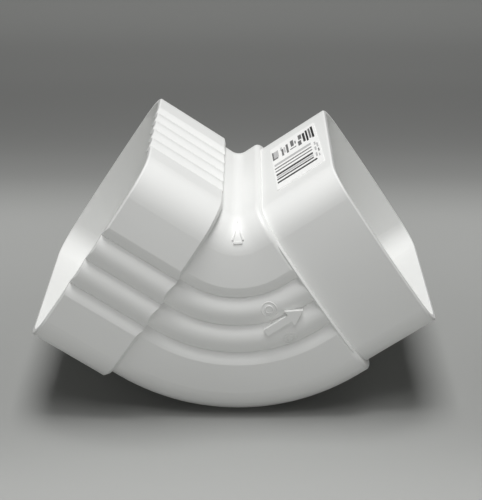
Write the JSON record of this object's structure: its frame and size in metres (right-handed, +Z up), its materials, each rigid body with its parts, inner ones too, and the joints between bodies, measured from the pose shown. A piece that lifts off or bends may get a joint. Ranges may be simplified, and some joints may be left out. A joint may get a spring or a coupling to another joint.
{
  "type": "downspout elbow",
  "caption": "Rectangular rainwater downspout elbow with a bell socket at the inlet, a swept bend, a stop shoulder and a plain spigot at the outlet.",
  "frame": {"origin": "on the floor under the middle of the elbow's length, as it rests on the outside of its bend", "axes": "+Z up, +X along the floor with the flow from socket to spigot, -Y towards the grooved side with the arrow; the bend's axis is parallel to Y"},
  "size_m": [0.1618, 0.1134, 0.1074],
  "materials": {
    "vinyl": "smooth semi-gloss moulded",
    "paper": "matt coated paper"
  },
  "bodies": {
    "root": {"elbow": "vinyl", "label": "paper"}
  },
  "joints": []
}
